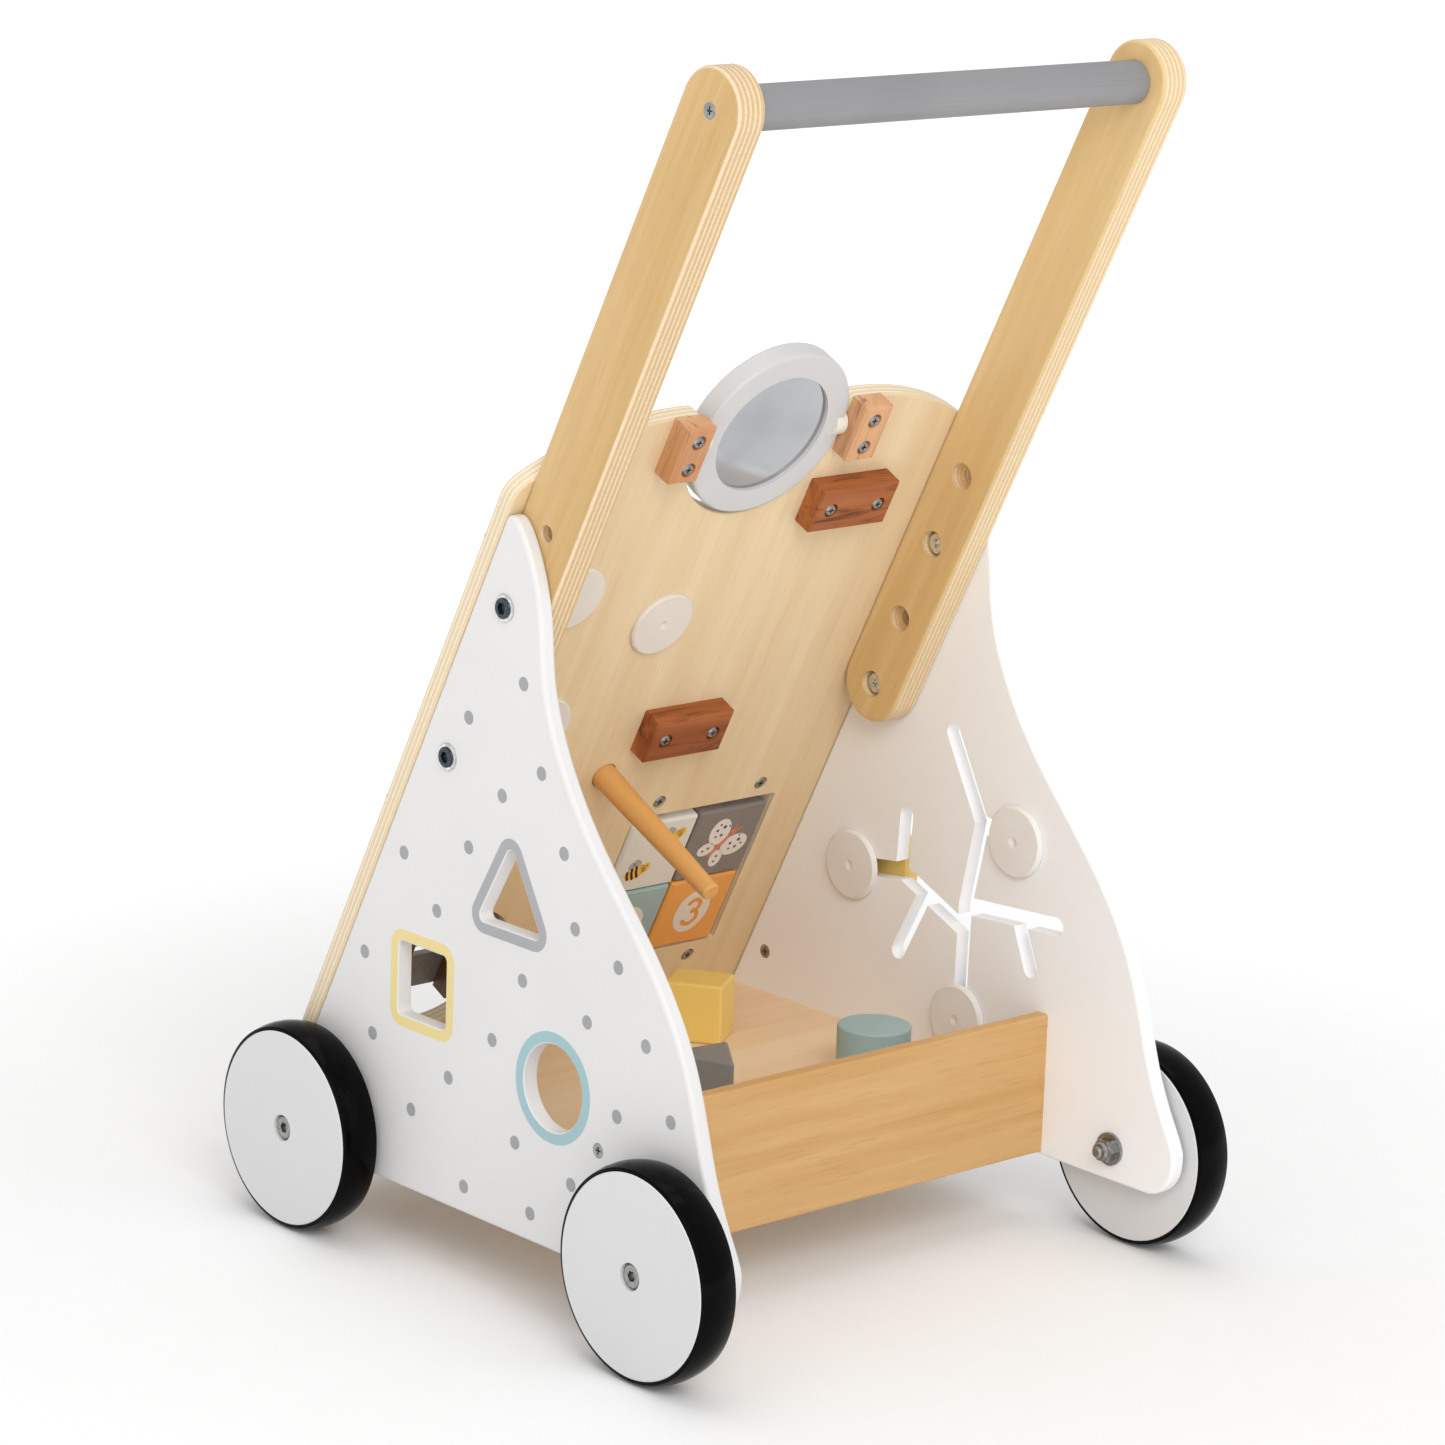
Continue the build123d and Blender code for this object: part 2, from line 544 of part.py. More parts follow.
with BuildPart() as axle_nuts:
    for place in axle_places:
        seat = -(PANEL_T + AXLE_WASHER_T)
        with BuildSketch(place.offset(seat - NUT_H * 0.7)):
            RegularPolygon(radius=5, side_count=6, major_radius=False)
        extrude(amount=NUT_H * 0.7)
        turn(place, [(0, seat - NUT_H * 0.7), (4.6, seat - NUT_H * 0.7), (4.0, seat - NUT_H),
                     (0, seat - NUT_H)])
        turn(place, [(0, seat + 1), (AXLE_R, seat + 1), (AXLE_R, seat - NUT_H - 1),
                     (0, seat - NUT_H - 1)], Mode.SUBTRACT)

# ---- wheels: a white disc with a crowned rubber tyre
wheel_discs, tyres = [], []
for side, side_name in SIDES:
    for y, end_name in ((-AXLE_Y, "front"), (AXLE_Y, "rear")):
        hub = side_place(side, WHEEL_IN, y, AXLE_Z)
        with BuildPart() as wheel_disc:
            turn(hub, [(AXLE_R + RUNNING, 0), (WHEEL_R - 0.5, 0), (WHEEL_R, 0.5),
                       (WHEEL_R, WHEEL_W - 0.5), (WHEEL_R - 0.5, WHEEL_W), (6.4, WHEEL_W),
                       (6.4, WHEEL_W - 4.0), (AXLE_R + RUNNING, WHEEL_W - 4.0)])
        wheel_disc.part.label = f"{end_name}_{side_name}_wheel_disc"
        wheel_discs.append(wheel_disc.part)
        with BuildPart() as tyre:
            with BuildSketch(Plane(origin=hub.origin, x_dir=hub.x_dir, z_dir=-hub.y_dir)):
                with BuildLine():
                    Polyline((TYRE_R - 1.6, 1.0), (WHEEL_R, 0.5), (WHEEL_R, WHEEL_W - 0.5),
                             (TYRE_R - 1.6, WHEEL_W - 1.0))
                    ThreePointArc((TYRE_R - 1.6, 1.0), (TYRE_R, WHEEL_W / 2),
                                  (TYRE_R - 1.6, WHEEL_W - 1.0))
                make_face()
            revolve(axis=Axis(hub.origin, hub.z_dir))
        tyre.part.label = f"{end_name}_{side_name}_tyre"
        tyres.append(tyre.part)

# ---- mirror: a thick ring with a recess and a glass on each face, on two collared pins
mirror_middle = board_place(0, MIRROR_S, MIRROR_OUT)
GLASS_FACE = MIRROR_T / 2 - GLASS_SET

with BuildPart() as mirror_ring:
    with BuildSketch(mirror_middle.offset(-MIRROR_T / 2)):
        Circle(MIRROR_R)
    extrude(amount=MIRROR_T)
    fillet(mirror_ring.edges(), 1.5)
    for sign in (-1, 1):
        with BuildSketch(mirror_middle.offset(sign * (GLASS_FACE - GLASS_T))):
            Circle(GLASS_R)
        extrude(amount=sign * (GLASS_T + GLASS_SET + 1), mode=Mode.SUBTRACT)
        bore(pin_mouth(sign), BOSS_R, PIN_MOUTH_X - BOSS_IN)

with BuildPart() as mirror_glass:
    for sign in (-1, 1):
        with BuildSketch(mirror_middle.offset(sign * GLASS_FACE)):
            Circle(GLASS_R)
        extrude(amount=-sign * GLASS_T)

with BuildPart() as mirror_pins:
    for sign in (-1, 1):
        pin = pin_mouth(sign).offset(-PIN_MOUTH_X)
        turn(pin, [(0, BOSS_IN), (BOSS_R, BOSS_IN), (BOSS_R, BOSS_END - 0.6),
                   (BOSS_R - 0.6, BOSS_END), (PIN_R, BOSS_END), (PIN_R, 57.5), (0, 57.5)])

# ---- redwood blocks on the back
def redwood_block(x, s, size):
    """A small block on the board's back face."""
    with BuildSketch(back_place(x, s)) as footprint:
        Rectangle(*size)
    extrude(footprint.sketch, amount=BLOCK_T)


def drill_block():
    """Cut the holes for the screws, the mirror's pins and the ends of the wire."""
    for place in block_screws:
        bore(place.offset(POCKET_DEPTH), POCKET_R, POCKET_DEPTH)
        turn(place, pan_profile(PAN_L), Mode.SUBTRACT)
    for x, s in (WIRE_UPPER, WIRE_LOWER):
        bore(board_place(x, s, 1), WIRE_R, WIRE_SUNK + 1)
    for side, _ in SIDES:
        bore(pin_mouth(side), PIN_R + RUNNING, 18)


back_blocks = []
for name, x, s, size in (("mirror_block_left", 54.5, MIRROR_S, MIRROR_BLOCK),
                         ("mirror_block_right", -54.5, MIRROR_S, MIRROR_BLOCK),
                         ("wire_block_upper", *WIRE_UPPER, WIRE_BLOCK),
                         ("wire_block_lower", *WIRE_LOWER, WIRE_BLOCK)):
    with BuildPart() as back_block:
        redwood_block(x, s, size)
        chamfer(back_block.faces().sort_by(Axis(board_back.origin, -board_back.z_dir))[-1]
                .edges(), 0.8)
        drill_block()
    back_block.part.label = name
    back_blocks.append(back_block.part)

# ---- flip blocks, their rods and the bezel
flip_blocks = []
for row_name, s in FLIP_ROWS:
    for column_name, x in FLIP_COLUMNS:
        with BuildPart() as flip_block:
            with BuildSketch(board_place(x, s)):
                Rectangle(FLIP_W, FLIP_H)
            extrude(amount=FLIP_T)
            chamfer(flip_block.edges(), 1.2)
            bore(Plane(origin=board_back.from_local_coords((x, s + FLIP_H / 2, FLIP_T / 2)),
                       x_dir=(1, 0, 0), z_dir=board_back.y_dir), ROD_R + RUNNING, FLIP_H + 1)
        flip_block.part.label = f"flip_block_{row_name}_{column_name}"
        flip_blocks.append(flip_block.part)

with BuildPart() as block_rods:
    for _, x in FLIP_COLUMNS:
        rod_low = board_back.from_local_coords((x, WINDOW_AT[1] - WINDOW[1] / 2 - ROD_GRIP,
                                                FLIP_T / 2))
        with BuildSketch(Plane(origin=rod_low, x_dir=(1, 0, 0), z_dir=board_back.y_dir)):
            Circle(ROD_R)
        extrude(amount=WINDOW[1] + 2 * ROD_GRIP)

with BuildPart() as block_bezel:
    with BuildSketch(board_place(*WINDOW_AT, BOARD_T)):
        RectangleRounded(*BEZEL, 6)
        RectangleRounded(*WINDOW, 1.5, mode=Mode.SUBTRACT)
    extrude(amount=BEZEL_T)
    fillet(block_bezel.faces().sort_by(Axis(board_back.origin, board_back.z_dir))[-1].edges(), 1.0)
    for place in bezel_screws:
        turn(place, pan_profile(BEZEL_SCREW_L), Mode.SUBTRACT)

# ---- gears on white axles with a round cap behind the board
gears = []
for name, (x, s), teeth, phase in GEARS:
    with BuildPart() as gear:
        with BuildSketch(board_place(x, s, GEAR_W)):
            with BuildLine():
                Polyline(*gear_outline(teeth, phase), close=True)
            make_face()
            Circle(SHAFT_R + RUNNING, mode=Mode.SUBTRACT)
            with PolarLocations(MODULE * teeth * 0.27, 5):
                Circle(MODULE * teeth * 0.075, mode=Mode.SUBTRACT)
        extrude(amount=GEAR_T)
        chamfer(gear.faces().sort_by(Axis(board_back.origin, board_back.z_dir))[-1]
                .outer_wire().edges(), 0.6)
    gear.part.label = f"gear_{name}"
    gears.append(gear.part)

CAP_T = 2.2
SHAFT_END = GEAR_W + GEAR_T + 0.3

with BuildPart() as gear_axles:
    for _, (x, s), _, _ in GEARS:
        turn(back_place(x, s), [(0, -SHAFT_END), (SHAFT_R, -SHAFT_END), (SHAFT_R, 0),
                                (DISC_R - 0.3, 0), (DISC_R - 0.3, CAP_T - 0.9),
                                (DISC_R - 1.2, CAP_T), (2.6, CAP_T), (0, CAP_T - 0.8)])

with BuildPart() as gear_front_caps:
    for _, (x, s), _, _ in GEARS:
        turn(board_place(x, s, SHAFT_END), [(0, 0), (9, 0), (9, 1.4), (7.4, 3), (2.2, 3), (0, 2)])

# ---- xylophone: redwood rails across a sound hole, five bars and their pins
rail_middle_s = XYLO_LOW + 2 * XYLO_PITCH
rail_length = 4 * XYLO_PITCH + XYLO_BAR_W + 3
bar_out = BOARD_T + XYLO_RAIL_D
xylo_pins = [board_place(XYLO_X + dx, XYLO_LOW + k * XYLO_PITCH, bar_out + XYLO_BAR_T)
             for k in range(5) for dx in (-XYLO_RAIL_X, XYLO_RAIL_X)]
PIN_PROFILE = [(0, -9), (1.4, -9), (1.4, 0), (3.2, 0), (2.9, 1.0), (1.6, 1.9), (0, 2.1)]

with BuildPart() as xylophone_rails:
    with BuildSketch(board_place(XYLO_X, rail_middle_s, BOARD_T)):
        with Locations((-XYLO_RAIL_X, 0), (XYLO_RAIL_X, 0)):
            Rectangle(XYLO_RAIL_W, rail_length)
    extrude(amount=XYLO_RAIL_D)
    chamfer(xylophone_rails.faces().sort_by(Axis(board_back.origin, board_back.z_dir))[-2:]
            .edges(), 0.6)
    for place in xylo_pins:
        turn(place, PIN_PROFILE, Mode.SUBTRACT)

with BuildPart() as xylophone_bars:
    for k, length in enumerate(XYLO_LENGTHS):
        with BuildSketch(board_place(XYLO_X, XYLO_LOW + k * XYLO_PITCH, bar_out)):
            RectangleRounded(length, XYLO_BAR_W, 2.5)
        extrude(amount=XYLO_BAR_T)
    for place in xylo_pins:
        turn(place, PIN_PROFILE, Mode.SUBTRACT)

with BuildPart() as xylophone_pins:
    for place in xylo_pins:
        turn(place, PIN_PROFILE)

# ---- bead wire: out of the upper block, along the front, back into the lower block
wire_corners = [board_back.from_local_coords((x, s, out)) for (x, s), out in (
    (WIRE_UPPER, -WIRE_SUNK), (WIRE_UPPER, WIRE_OUT), (WIRE_LOWER, WIRE_OUT),
    (WIRE_LOWER, -WIRE_SUNK))]
wire_run = wire_corners[1] - wire_corners[2]

with BuildPart() as bead_wire:
    with BuildLine():
        wire_path = FilletPolyline(*wire_corners, radius=WIRE_BEND)
    with BuildSketch(Plane(origin=wire_corners[0], z_dir=wire_corners[1] - wire_corners[0])):
        Circle(WIRE_R)
    sweep()

beads = []
for k, name in enumerate(("lower", "middle", "upper")):
    bead_at = wire_corners[2] + wire_run.normalized() * (WIRE_BEND + 1 + BEAD_STEP * k)
    with BuildPart() as bead:
        bead_foot = Plane(origin=bead_at, x_dir=wire_path.edges()[0] % 0, z_dir=wire_run)
        turn(bead_foot, [(WIRE_R + RUNNING, 0), (7.0, 0), (9.2, 2.2), (BEAD_R, 5.5),
                         (BEAD_R, BEAD_L - 5.5), (9.2, BEAD_L - 2.2), (7.0, BEAD_L),
                         (WIRE_R + RUNNING, BEAD_L)])
    bead.part.label = f"bead_{name}"
    beads.append(bead.part)

# ---- maze sliders: a disc inside the panel, a stem in the slot and a knob outside
slider_discs, slider_knobs = [], []
STEM_R, SLIDER_GAP, KNOB_T = 4.0, 0.3, 9.0
for name, (y, z), knob_r in SLIDERS:
    inside = inward_place(-1, PANEL_IN, y, z)
    outer = -(PANEL_T + SLIDER_GAP)
    with BuildPart() as slider_disc:
        turn(inside, [(0, outer), (STEM_R, outer), (STEM_R, SLIDER_GAP), (DISC_R, SLIDER_GAP),
                      (DISC_R, 1.9), (DISC_R - 1.2, 3.0), (2.8, 3.3), (0, 2.4)])
    slider_disc.part.label = f"slider_disc_{name}"
    slider_discs.append(slider_disc.part)
    with BuildPart() as slider_knob:
        turn(inside, [(0, outer), (knob_r - 1.5, outer), (knob_r, outer - 1.5),
                      (knob_r, outer - KNOB_T + 2), (knob_r - 2, outer - KNOB_T),
                      (0, outer - KNOB_T)])
    slider_knob.part.label = f"slider_knob_{name}"
    slider_knobs.append(slider_knob.part)

# ---- mallet: a tapered stick through the board, with a round head in front
mallet_hole = board_place(*MALLET_AT)
MALLET_BALL_OUT = BOARD_T + MALLET_HEAD_R + 0.5

with BuildPart() as mallet:
    turn(mallet_hole, [(0, -MALLET_TAIL), (3.9, -MALLET_TAIL), (4.6, 1.0 - MALLET_TAIL), (6.6, 0),
                       (6.6, BOARD_T), (5.0, BOARD_T), (5.0, MALLET_BALL_OUT), (0, MALLET_BALL_OUT)])
    with Locations(board_place(*MALLET_AT, MALLET_BALL_OUT).location):
        Sphere(MALLET_HEAD_R)

# ---- loose shapes in the bin
SHAPE_T, CUBE_W = 26.0, 30.0

with BuildPart() as square_block:
    with BuildSketch(Plane.XY.offset(FLOOR_TOP)):
        with Locations(Location((-56.5, -82.5, 0), (0, 0, 34))):
            Rectangle(SHAPE_T, CUBE_W)
    extrude(amount=CUBE_W)
    fillet(square_block.edges(), 1.5)

with BuildPart() as triangle_block:
    with BuildSketch(Plane.XY.offset(FLOOR_TOP)):
        with Locations((12.5, 2.8)):
            RegularPolygon(radius=21.6, side_count=3, rotation=-36.6 + 120)
    extrude(amount=SHAPE_T)
    fillet(triangle_block.edges(), 1.5)

with BuildPart() as round_block:
    with BuildSketch(Plane.XY.offset(FLOOR_TOP)):
        with Locations((-83.0, 15.5)):
            Circle(18)
    extrude(amount=SHAPE_T)
    fillet(round_block.edges(), 1.2)

# ---- write each piece under its own name
named = {
    "left_side_panel": left_side_panel, "right_side_panel": right_side_panel,
    "activity_board": activity_board, "bin_floor": bin_floor, "rear_rail": rear_rail,
    "floor_dowels": floor_pegs, "left_handle_arm": left_handle_arm,
    "right_handle_arm": right_handle_arm, "handle_bar": handle_bar,
    "arm_washers": arm_washers, "arm_sleeve_nuts": arm_sleeve_nuts, "arm_bolts": arm_bolts,
    "wood_screws": wood_screws,
    "back_screws": back_screws, "axle_bolts": axle_bolts, "axle_washers": axle_washers,
    "axle_nuts": axle_nuts, "mirror_ring": mirror_ring, "mirror_glass": mirror_glass,
    "mirror_pins": mirror_pins, "block_rods": block_rods, "block_bezel": block_bezel,
    "gear_axles": gear_axles, "gear_front_caps": gear_front_caps,
    "xylophone_rails": xylophone_rails, "xylophone_bars": xylophone_bars,
    "xylophone_pins": xylophone_pins, "bead_wire": bead_wire, "mallet": mallet,
    "square_block": square_block, "triangle_block": triangle_block,
    "round_block": round_block,
}
pieces = []
for name, builder in named.items():
    builder.part.label = name
    pieces.append(builder.part)
pieces += (wheel_discs + tyres + back_blocks + flip_blocks + gears + beads + slider_discs
           + slider_knobs)
for piece in pieces:
    export_step(piece, f"parts/{piece.label}.step")
print(len(pieces), "pieces")
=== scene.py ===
from math import atan2, cos, hypot, pi, radians, sin, sqrt, tan

import bmesh
import bpy
from mathutils import Matrix, Vector


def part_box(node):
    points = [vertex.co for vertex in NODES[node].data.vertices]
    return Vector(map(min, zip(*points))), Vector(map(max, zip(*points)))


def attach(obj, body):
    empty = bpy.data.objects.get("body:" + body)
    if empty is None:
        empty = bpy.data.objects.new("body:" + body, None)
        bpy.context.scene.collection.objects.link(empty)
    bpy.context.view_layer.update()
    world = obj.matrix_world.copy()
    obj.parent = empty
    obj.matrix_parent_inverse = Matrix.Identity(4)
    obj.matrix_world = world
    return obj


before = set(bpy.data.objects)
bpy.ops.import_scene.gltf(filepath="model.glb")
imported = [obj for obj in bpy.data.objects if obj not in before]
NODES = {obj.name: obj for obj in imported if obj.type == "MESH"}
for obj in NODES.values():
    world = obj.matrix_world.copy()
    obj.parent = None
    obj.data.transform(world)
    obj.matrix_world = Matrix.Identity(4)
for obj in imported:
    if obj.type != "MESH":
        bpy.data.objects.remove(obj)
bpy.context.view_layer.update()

# Places are in metres, in the walker's frame: +X to its own left, +Y towards the child. Printed
# shapes are in millimetres, from the middle of the face that carries them.
MM = 0.001

# The activity board's back face: a point on it, the way up its slope and the way out of its back.
BOARD_POINT = Vector((0, -30, 300)) * MM
UP_SLOPE = Vector((0, 1, 2)).normalized()
OUT_BACK = Vector((0, 2, -1)).normalized()
OUT_FRONT = -OUT_BACK
ACROSS, BACKWARD, UPRIGHT = Vector((1, 0, 0)), Vector((0, 1, 0)), Vector((0, 0, 1))


# ---------------------------------------------------------------- shader graphs
class Graph:
    """A material's node tree, with short ways to add the nodes that these materials use."""

    def __init__(self, name, **constants):
        self.material = bpy.data.materials.new(name)
        self.material.use_nodes = True
        self.tree = self.material.node_tree
        self.shader = self.tree.nodes["Principled BSDF"]
        for socket, value in constants.items():
            self.shader.inputs[socket.replace("_", " ")].default_value = value
        self.place = self.new("ShaderNodeTexCoord").outputs["Object"]

    def new(self, kind, inputs=(), **settings):
        node = self.tree.nodes.new(kind)
        for key, value in settings.items():
            setattr(node, key, value)
        for index, value in enumerate(inputs):
            self.feed(node.inputs[index], value)
        return node

    def feed(self, socket, value):
        if isinstance(value, bpy.types.NodeSocket):
            self.tree.links.new(value, socket)
        else:
            socket.default_value = value

    def math(self, operation, *values):
        return self.new("ShaderNodeMath", values, operation=operation).outputs[0]

    def along(self, vector, direction):
        """How far a vector reaches in a direction."""
        node = self.new("ShaderNodeVectorMath", (vector, tuple(direction)), operation="DOT_PRODUCT")
        return node.outputs["Value"]

    def squeeze(self, lengths, rates):
        """A place for a noise to be read, from lengths along three axes and each axis's rate."""
        scaled = [self.math("MULTIPLY", length, rate) for length, rate in zip(lengths, rates)]
        return self.new("ShaderNodeCombineXYZ", scaled).outputs[0]

    def noise(self, vector, scale, detail=2.0, roughness=0.5, distortion=0.0):
        node = self.new("ShaderNodeTexNoise")
        self.feed(node.inputs["Vector"], vector)
        for socket, value in (("Scale", scale), ("Detail", detail), ("Roughness", roughness),
                              ("Distortion", distortion)):
            node.inputs[socket].default_value = value
        return node.outputs["Fac"]

    def stretch(self, value, low, high, new_low=0.0, new_high=1.0):
        """Map one range of a value to another, clamped and eased at both ends."""
        node = self.new("ShaderNodeMapRange", (value, low, high, new_low, new_high))
        node.interpolation_type = "SMOOTHSTEP"
        return node.outputs[0]

    def mix(self, amount, first, second):
        """From the first colour to the second. Inputs 6 and 7 and output 2 are the node's
        colours."""
        node = self.new("ShaderNodeMix", data_type="RGBA")
        self.feed(node.inputs[0], amount)
        for index, value in ((6, first), (7, second)):
            linked = isinstance(value, bpy.types.NodeSocket)
            self.feed(node.inputs[index], value if linked else (*value, 1))
        return node.outputs[2]

    def bump(self, height, strength, distance):
        node = self.new("ShaderNodeBump")
        node.inputs["Strength"].default_value = strength
        node.inputs["Distance"].default_value = distance
        self.feed(node.inputs["Height"], height)
        self.feed(self.shader.inputs["Normal"], node.outputs[0])

    def colour(self, value):
        self.feed(self.shader.inputs["Base Color"], value)

    def roughness(self, value):
        self.feed(self.shader.inputs["Roughness"], value)

    def normal(self):
        return self.new("ShaderNodeTexCoord").outputs["Normal"]


def srgb(r, g, b):
    """A colour from its 0 to 255 values, as linear light."""
    return tuple(((c / 255 + 0.055) / 1.055) ** 2.4 if c > 10 else c / 3295 for c in (r, g, b))


def shade(colour, factor):
    return tuple(c * factor for c in colour)


def tint(colour, factor):
    """A paler colour: what it lacks to white is multiplied by the factor."""
    return tuple(1 - (1 - c) * factor for c in colour)


# How fast each pattern of wood changes, per metre: along the grain, through it and across it.
CLOUD_RATES = (0.9, 6.0, 7.0)
LINE_RATES = (5.0, 90.0, 120.0)
VEIN_RATES = (14.0, 150.0, 260.0)
PORE_RATES = (40.0, 1400.0, 1400.0)
PAINTED_GRAIN_RATES = (16.0, 900.0, 900.0)
RELIEF = 0.2 * MM


def ply_layers(g, depth, face, plies, origin, pale, dark):
    """Plywood's layers, for wherever its surface turns away from the face direction: their
    colour, how much of them shows, and the glue lines between them."""
    thickness, count = plies
    offset = -Vector(origin).dot(face)
    level = g.math("DIVIDE", g.math("ADD", depth, offset), thickness / count)
    inside = g.math("PINGPONG", level, 1.0)
    odd = g.math("MODULO", g.math("ABSOLUTE", g.math("FLOOR", level)), 2.0)
    glue = g.stretch(g.math("ABSOLUTE", g.math("SUBTRACT", inside, 0.5)), 0.40, 0.5)
    speck = g.noise(g.place, 900.0, 2.0, 0.7)
    layer = g.mix(odd, tint(pale, 0.72), shade(pale, 0.92))
    layer = g.mix(g.stretch(speck, 0.35, 0.7, 0.0, 0.30), layer, shade(dark, 0.95))
    layer = g.mix(g.math("MULTIPLY", glue, 0.42), layer, shade(dark, 0.50))
    facing = g.math("ABSOLUTE", g.along(g.normal(), face))
    edge = g.stretch(facing, 0.86, 0.97, 1.0, 0.0)
    return layer, edge, glue


def wood(name, grain, face, pale, dark, figure=1.0, plies=None, origin=(0, 0, 0), shine=0.42,
         streaks=None):
    """Sanded wood with its grain along one direction. plies is (thickness, count) of plywood whose
    layers lie across the face direction, counted from the origin point. streaks is the colour of
    dark lines in the grain."""
    g = Graph(name, Roughness=shine, Specular_IOR_Level=0.22)
    grain, face = Vector(grain).normalized(), Vector(face).normalized()
    axes = [g.along(g.place, direction) for direction in (grain, face, grain.cross(face))]
    cloud = g.noise(g.squeeze(axes, CLOUD_RATES), 2.2, 3.0, 0.55, 0.6)
    lines = g.noise(g.squeeze(axes, LINE_RATES), 1.0, 4.0, 0.6, 0.3)
    pores = g.noise(g.squeeze(axes, PORE_RATES), 1.0, 2.0, 0.6)
    tone = g.math("ADD", g.math("MULTIPLY", cloud, 0.55), g.math("MULTIPLY", lines, 0.45))
    contrast = 0.24 / figure
    base = g.mix(g.stretch(tone, 0.5 - contrast, 0.5 + contrast), dark, pale)
    if streaks:
        vein = g.noise(g.squeeze(axes, VEIN_RATES), 1.0, 4.0, 0.62, 1.2)
        base = g.mix(g.stretch(vein, 0.52, 0.70, 0.0, 0.85), base, streaks)
    fleck = g.stretch(pores, 0.58, 0.74, 0.0, 0.22 * figure)
    base = g.mix(fleck, base, shade(dark, 0.55))
    height = g.math("ADD", g.math("MULTIPLY", lines, 0.5), g.math("MULTIPLY", pores, 0.5))
    if plies:
        layer, edge, glue = ply_layers(g, axes[1], face, plies, origin, pale, dark)
        base = g.mix(edge, base, layer)
        height = g.math("ADD", height, g.math("MULTIPLY", g.math("MULTIPLY", glue, edge), -0.8))
    g.colour(base)
    g.roughness(g.stretch(lines, 0.3, 0.7, shine - 0.06, shine + 0.08))
    g.bump(height, 0.25, RELIEF)
    return g.material


def paint(name, colour, shine=0.38, ripple=0.12, wear=0.05, grain=None):
    """Sprayed paint on wood: a slight orange peel, uneven gloss and faint grime; a grain
    direction lets the wood's lines show through."""
    g = Graph(name, Roughness=shine, Specular_IOR_Level=0.4)
    cloud = g.noise(g.place, 14.0, 3.0, 0.55)
    peel = g.noise(g.place, 1100.0, 2.0, 0.5)
    base = g.mix(g.stretch(cloud, 0.3, 0.75), colour, shade(colour, 1 - wear))
    height = peel
    if grain:
        grain = Vector(grain).normalized()
        across = grain.orthogonal().normalized()
        axes = [g.along(g.place, d) for d in (grain, across, grain.cross(across))]
        lines = g.noise(g.squeeze(axes, PAINTED_GRAIN_RATES), 1.0, 3.0, 0.6)
        base = g.mix(g.stretch(lines, 0.45, 0.75, 0.0, 0.16), base, shade(colour, 0.7))
        height = g.math("ADD", g.math("MULTIPLY", peel, 0.4), lines)
    g.colour(base)
    g.roughness(g.stretch(cloud, 0.3, 0.7, shine - 0.05, shine + 0.07))
    g.bump(height, ripple, RELIEF)
    return g.material


def plastic(name, colour, shine=0.3):
    """Moulded plastic: an even colour, with a slight cloud in its gloss."""
    g = Graph(name, Roughness=shine, Specular_IOR_Level=0.5, Subsurface_Weight=0.05,
              Subsurface_Scale=0.002)
    cloud = g.noise(g.place, 60.0, 2.0, 0.5)
    g.colour(g.mix(g.stretch(cloud, 0.3, 0.7), colour, shade(colour, 0.96)))
    g.roughness(g.stretch(cloud, 0.3, 0.7, shine - 0.04, shine + 0.08))
    g.bump(g.noise(g.place, 700.0, 1.0, 0.5), 0.05, RELIEF)
    return g.material


def steel(name, colour, shine=0.28):
    """Zinc-plated steel with fine turning marks and dulled patches."""
    g = Graph(name, Metallic=1.0, Roughness=shine)
    patches = g.noise(g.place, 420.0, 3.0, 0.6)
    g.colour(g.mix(g.stretch(patches, 0.35, 0.7), colour, shade(colour, 0.72)))
    g.roughness(g.stretch(patches, 0.3, 0.75, shine - 0.08, shine + 0.2))
    g.bump(g.noise(g.place, 5200.0, 2.0, 0.6), 0.12, RELIEF / 2)
    return g.material


def rubber(name):
    """Smooth black tyre: glossy, with a faint dusty bloom."""
    g = Graph(name, Roughness=0.16, Specular_IOR_Level=0.06)
    dust = g.noise(g.place, 55.0, 4.0, 0.6)
    black, dusty = (0.0015, 0.0015, 0.0016), (0.006, 0.006, 0.006)
    g.colour(g.mix(g.stretch(dust, 0.5, 0.8, 0.0, 0.4), black, dusty))
    g.roughness(g.stretch(dust, 0.35, 0.75, 0.12, 0.26))
    g.bump(g.noise(g.place, 1600.0, 2.0, 0.5), 0.05, RELIEF)
    return g.material


def mirror_glass(name):
    """Acrylic mirror: clear reflection with very slight haze and waviness."""
    g = Graph(name, Metallic=1.0, Roughness=0.05)
    haze = g.noise(g.place, 24.0, 3.0, 0.5)
    g.colour(g.mix(g.stretch(haze, 0.3, 0.7), srgb(194, 195, 198), srgb(178, 179, 182)))
    g.roughness(g.stretch(haze, 0.3, 0.75, 0.03, 0.12))
    g.bump(g.noise(g.place, 16.0, 1.0, 0.5), 0.04, 5 * RELIEF)
    return g.material


PALE, HONEY = srgb(235, 215, 179), srgb(221, 192, 148)
BOARD_PLIES, ARM_PLIES = (9 * MM, 7), (15 * MM, 11)
ARM_FACE = (120 * MM, 0, 0)

